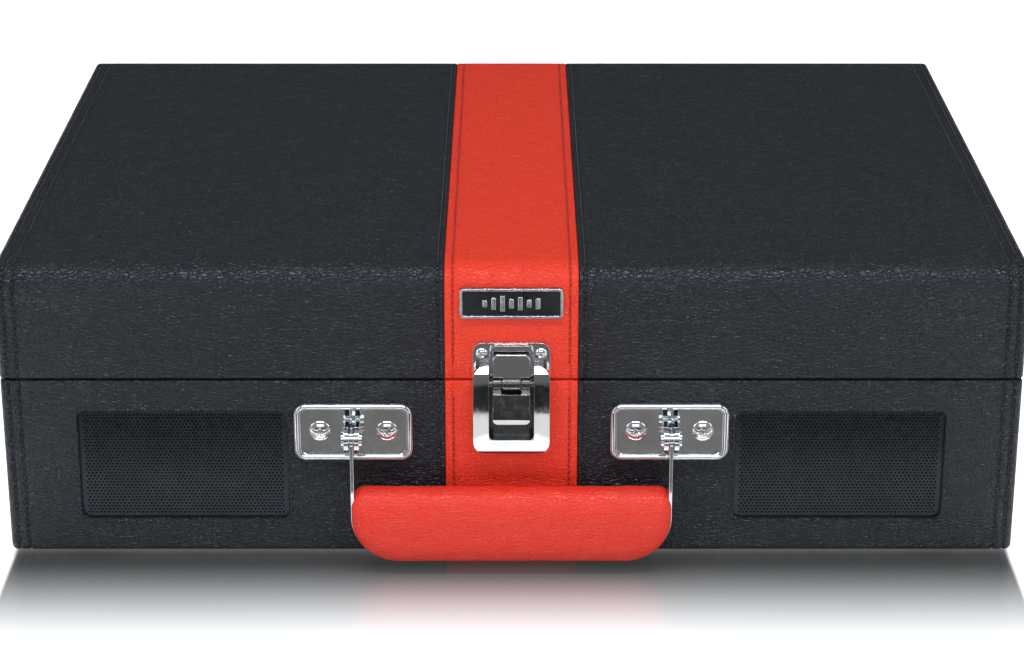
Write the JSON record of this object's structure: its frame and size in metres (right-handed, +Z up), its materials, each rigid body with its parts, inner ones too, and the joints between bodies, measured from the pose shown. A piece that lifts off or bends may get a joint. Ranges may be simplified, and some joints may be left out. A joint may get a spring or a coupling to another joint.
{
  "type": "suitcase record player",
  "caption": "Portable belt-drive record player in a latched suitcase with a hinged lid, drop handle, front speakers, tonearm deck and rear sockets.",
  "frame": {"origin": "on the floor under the middle of the object's bounding box, feet at Z 0", "axes": "+X to the player's right seen from the front, +Y from the front with latch and handle to the rear hinges, +Z up"},
  "size_m": [0.35, 0.2816, 0.1085],
  "materials": {
    "black_leatherette": "fine pebble grain, satin",
    "red_leatherette": "fine creased grain, satin",
    "board": "raw fibreboard",
    "foot_rubber": "matt",
    "mesh_black": "semi-gloss black, perforated",
    "steel": "zinc plated",
    "chrome": "bright",
    "paper_cone": "matt paper",
    "foam": "soft foam",
    "lining": "short flock",
    "plate_black": "gloss",
    "trim_silver": "bright",
    "deck_black": "fine sparkle",
    "plastic_black": "satin",
    "platter_metal": "satin",
    "mat": "ribbed",
    "brass": "turned",
    "belt_rubber": "smooth",
    "pickup_red": "gloss",
    "lamp_red": "clear red lens",
    "board_green": "solder mask",
    "wire_insulation": "smooth",
    "adapter": "satin"
  },
  "bodies": {
    "base": {"base_box": "board", "base_cover_black": "black_leatherette", "base_cover_red": "red_leatherette", "feet": "foot_rubber", "speaker_grilles": "mesh_black", "speaker_frames": "steel", "speaker_cones": "paper_cone", "handle_brackets": "chrome", "handle_pivot_pins": "chrome", "bracket_screws": "chrome", "case_screws": "chrome", "latch_frame": "chrome", "latch_pin": "chrome", "hinge_leaves_base": "chrome", "hinge_pins": "chrome", "deck_plate": "deck_black", "spindle_bush": "brass", "drive_belt": "belt_rubber", "motor": "steel", "arm_pivot_base": "plastic_black", "arm_rest": "plastic_black", "cue_base": "plastic_black", "circuit_board": "board_green", "rear_panel": "plastic_black", "rca_jacks": "brass", "headphone_jack": "plastic_black", "dc_jack": "plastic_black", "power_lamp": "lamp_red", "wiring": "wire_insulation"},
    "lid": {"lid_box": "board", "lid_cover_black": "black_leatherette", "lid_cover_red": "red_leatherette", "lid_lining": "lining", "nameplate": "plate_black", "nameplate_trim": "trim_silver", "latch_catch": "chrome", "lid_screws": "chrome", "hinge_leaves_lid": "chrome"},
    "handle": {"handle_bail": "chrome", "handle_core": "foam", "handle_cover": "red_leatherette"},
    "latch_lever": {"latch_lever": "chrome"},
    "latch_hook": {"latch_hook": "chrome"},
    "platter": {"platter": "platter_metal", "platter_mat": "mat", "spindle": "steel"},
    "pulley": {"motor_pulley": "brass"},
    "arm_yoke": {"arm_yoke": "plastic_black"},
    "tonearm": {"arm_tube": "plastic_black", "counterweight": "steel", "cartridge": "pickup_red"},
    "cue_lever": {"cue_lever": "plastic_black"},
    "lift_bar": {"lift_bar": "plastic_black"},
    "arm_clip": {"arm_clip": "plastic_black"},
    "speed_lever": {"speed_lever": "plastic_black"},
    "autostop_switch": {"autostop_switch": "plastic_black"},
    "volume_knob": {"volume_knob": "plastic_black"},
    "adapter_45": {"adapter_45": "adapter"}
  },
  "joints": [
    {"name": "lid_hinge", "type": "hinge", "parent": "base", "child": "lid", "pos_m": [0, 0.13405, 0.0677], "axis": [-1, 0, 0], "range_deg": [0, 100]},
    {"name": "handle_swing", "type": "hinge", "parent": "base", "child": "handle", "pos_m": [0, -0.13325, 0.0493], "axis": [-1, 0, 0], "range_deg": [0, 120]},
    {"name": "latch_lever_lift", "type": "hinge", "parent": "base", "child": "latch_lever", "pos_m": [0, -0.12895, 0.068], "axis": [-1, 0, 0], "range_deg": [0, 25]},
    {"name": "latch_hook_fold", "type": "hinge", "parent": "base", "child": "latch_hook", "pos_m": [0, -0.12895, 0.068], "axis": [1, 0, 0], "range_deg": [0, 80]},
    {"name": "platter_spin", "type": "hinge", "parent": "base", "child": "platter", "pos_m": [-0.01, -0.018, 0.06], "axis": [0, 0, -1], "continuous": true},
    {"name": "pulley_spin", "type": "hinge", "parent": "base", "child": "pulley", "pos_m": [-0.0657, -0.057, 0.06], "axis": [0, 0, -1], "continuous": true},
    {"name": "arm_swing", "type": "hinge", "parent": "base", "child": "arm_yoke", "pos_m": [0.132, 0.092, 0.066], "axis": [0, 0, -1], "range_deg": [0, 36]},
    {"name": "arm_lift", "type": "hinge", "parent": "arm_yoke", "child": "tonearm", "pos_m": [0.132, 0.092, 0.078], "axis": [-1, 0, 0], "range_deg": [0, 5.5]},
    {"name": "cue_lever_turn", "type": "hinge", "parent": "base", "child": "cue_lever", "pos_m": [0.152, 0.065, 0.0625], "axis": [-1, 0, 0], "range_deg": [0, 70]},
    {"name": "lift_bar_rise", "type": "slide", "parent": "base", "child": "lift_bar", "axis": [0, 0, 1], "range_m": [0, 0.0042]},
    {"name": "arm_clip_close", "type": "hinge", "parent": "base", "child": "arm_clip", "pos_m": [0.1392, 0.046, 0.0833], "axis": [0, -1, 0], "range_deg": [0, 105]},
    {"name": "speed_select", "type": "hinge", "parent": "base", "child": "speed_lever", "pos_m": [-0.14, -0.084, 0.058], "axis": [0, 0, 1], "range_deg": [-18, 18]},
    {"name": "autostop_slide", "type": "slide", "parent": "base", "child": "autostop_switch", "axis": [0, 1, 0], "range_m": [0, 0.005]},
    {"name": "volume_turn", "type": "hinge", "parent": "base", "child": "volume_knob", "pos_m": [0.148, -0.072, 0.06], "axis": [0, 0, -1], "range_deg": [0, 300]},
    {"name": "adapter_lift", "type": "slide", "parent": "base", "child": "adapter_45", "axis": [0, 0, 1], "range_m": [0, 0.02]}
  ],
  "couplings": [
    {"joint": "pulley_spin", "follows": "platter_spin", "ratio": 13.174},
    {"joint": "lift_bar_rise", "follows": "cue_lever_turn", "m_per_rad": 0.0034}
  ]
}
